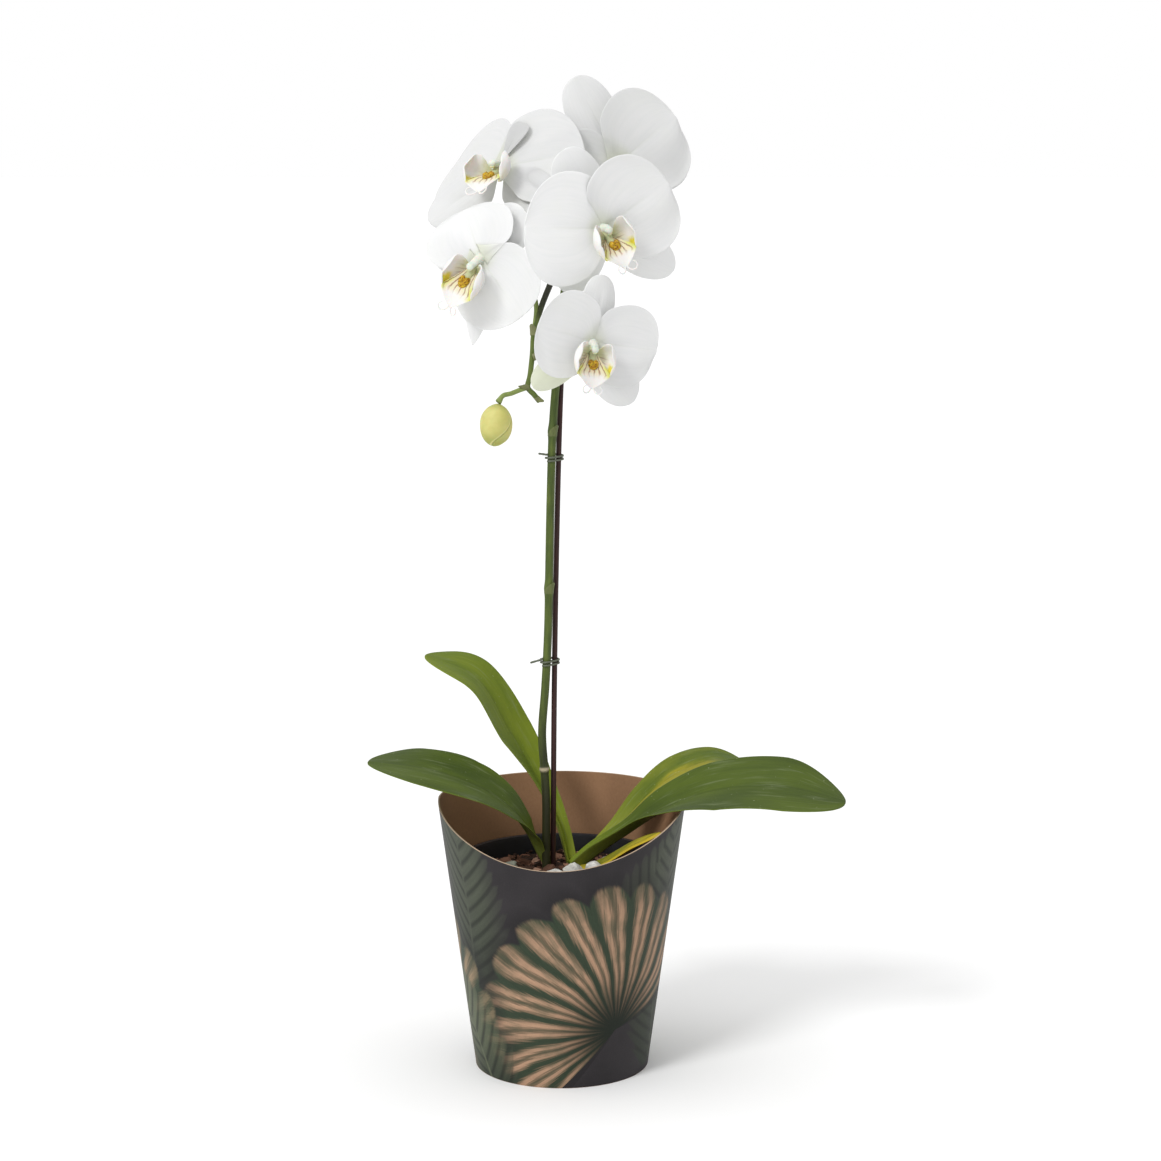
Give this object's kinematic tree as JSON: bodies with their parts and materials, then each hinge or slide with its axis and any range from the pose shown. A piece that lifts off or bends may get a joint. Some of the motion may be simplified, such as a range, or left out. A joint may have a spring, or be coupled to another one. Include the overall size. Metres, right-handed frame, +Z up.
{
  "type": "potted orchid",
  "caption": "White moth orchid on an arched, staked spike above strap leaves, in a grower's pot of bark inside a tapered printed board cover with a dipped rim.",
  "frame": {"origin": "centre of the underside of the board cover, on the surface it stands on", "axes": "+Z up the plant; -Y is the front, with the low side of the cover's rim and the faces of the blooms; +X to the right seen from the front"},
  "size_m": [0.2795, 0.1616, 0.5814],
  "materials": {
    "cover_board": "matt printed outside, bare kraft brown inside",
    "nursery_pot": "smooth black, thin walled",
    "bark": "coarse damp pine bark chips",
    "stone": "pale rounded pumice grit",
    "leaf": "leathery mid green, satin, paler at the base",
    "pale_leaf": "yellowing green, satin",
    "stem": "dull dark green, tan scars at the joints",
    "bud": "yellow green with darker seams",
    "petal": "white, soft velvety sheen, fine veins",
    "lip": "white side lobes, yellow bases, orange callus with red brown marks",
    "stake": "dark brown stained cane",
    "tie": "plastic coated wire"
  },
  "bodies": {
    "root": {"cover_wall": "cover_board", "cover_base": "cover_board", "nursery_pot": "nursery_pot", "bark": "bark", "stone_1": "stone", "stone_2": "stone", "stone_3": "stone", "stone_4": "stone", "stone_5": "stone", "stone_6": "stone", "crown": "leaf", "leaf_1": "leaf", "leaf_2": "leaf", "leaf_3": "leaf", "leaf_4": "pale_leaf", "leaf_5": "pale_leaf", "spike": "stem", "bud": "bud", "stake": "stake", "tie_lower": "tie", "tie_upper": "tie", "bloom_1": "petal", "bloom_2": "petal", "bloom_3": "petal", "bloom_4": "petal", "bloom_5": "petal", "lip_1": "lip", "lip_2": "lip", "lip_3": "lip", "lip_4": "lip", "lip_5": "lip"}
  },
  "joints": []
}
